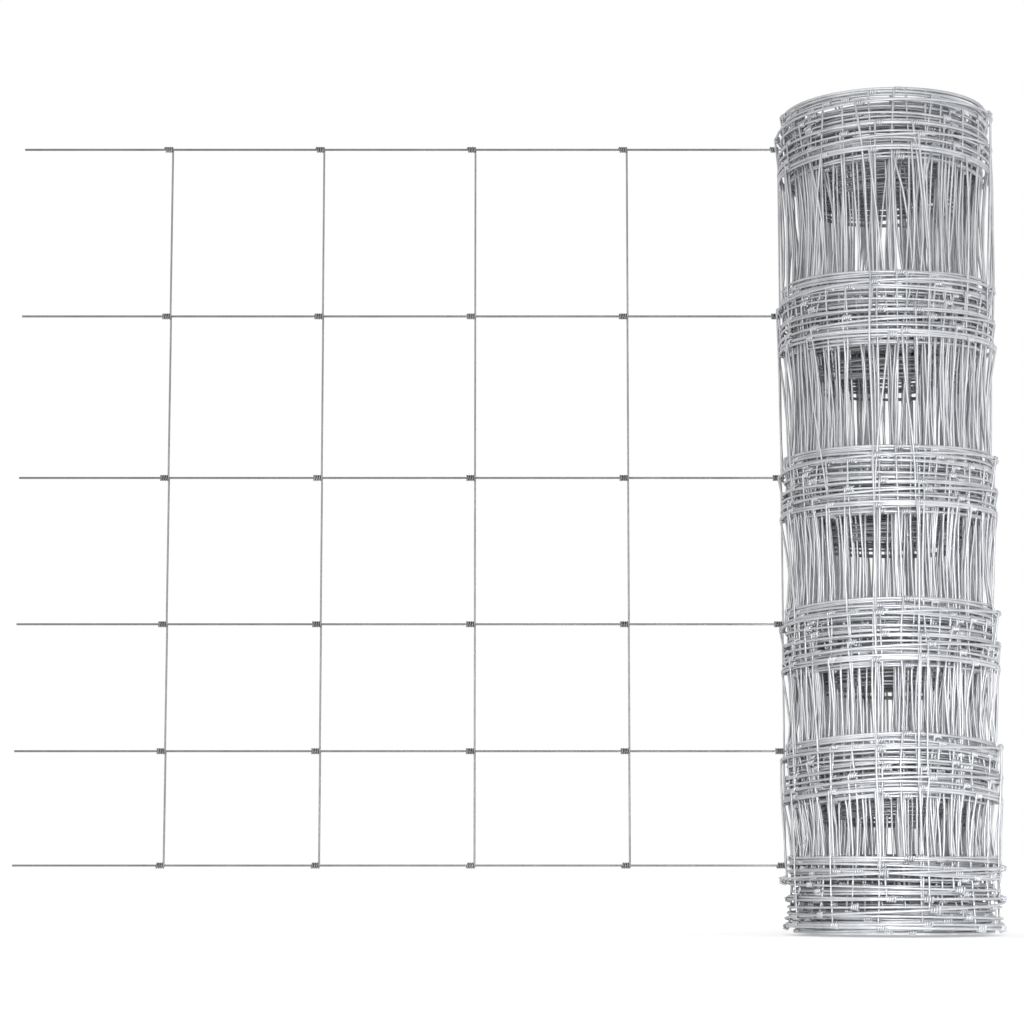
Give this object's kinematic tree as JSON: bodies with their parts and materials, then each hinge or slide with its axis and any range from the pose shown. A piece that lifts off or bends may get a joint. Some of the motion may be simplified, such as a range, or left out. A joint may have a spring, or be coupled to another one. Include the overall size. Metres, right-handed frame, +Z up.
{
  "type": "roll of wire fencing",
  "caption": "Roll of galvanised hinge-joint field fence standing on its end, with a flat stretch unrolled from its back.",
  "frame": {"origin": "centre of the bore at the roll's lower end, on the surface that the roll stands on", "axes": "+Z up the bore, -X along the unrolled stretch to its cut end, +Y towards the side of the roll that the stretch leaves"},
  "size_m": [1.066, 0.2386, 0.884],
  "materials": {
    "wound_wire": "bright galvanised wire, wound",
    "line_wire": "bright galvanised wire, lightly crimped",
    "stay_wire": "bright galvanised wire, wrapped at each joint"
  },
  "bodies": {
    "root": {"line_wire_1": "line_wire", "line_wire_2": "line_wire", "line_wire_3": "line_wire", "line_wire_4": "line_wire", "line_wire_5": "line_wire", "line_wire_6": "line_wire", "stay_1_bay_1": "stay_wire", "stay_1_bay_2": "stay_wire", "stay_1_bay_3": "stay_wire", "stay_1_bay_4": "stay_wire", "stay_1_bay_5": "stay_wire", "stay_2_bay_1": "stay_wire", "stay_2_bay_2": "stay_wire", "stay_2_bay_3": "stay_wire", "stay_2_bay_4": "stay_wire", "stay_2_bay_5": "stay_wire", "stay_3_bay_1": "stay_wire", "stay_3_bay_2": "stay_wire", "stay_3_bay_3": "stay_wire", "stay_3_bay_4": "stay_wire", "stay_3_bay_5": "stay_wire", "stay_4_bay_1": "stay_wire", "stay_4_bay_2": "stay_wire", "stay_4_bay_3": "stay_wire", "stay_4_bay_4": "stay_wire", "stay_4_bay_5": "stay_wire", "stay_5_bay_1": "stay_wire", "stay_5_bay_2": "stay_wire", "stay_5_bay_3": "stay_wire", "stay_5_bay_4": "stay_wire", "stay_5_bay_5": "stay_wire", "wound_roll": "wound_wire"}
  },
  "joints": []
}
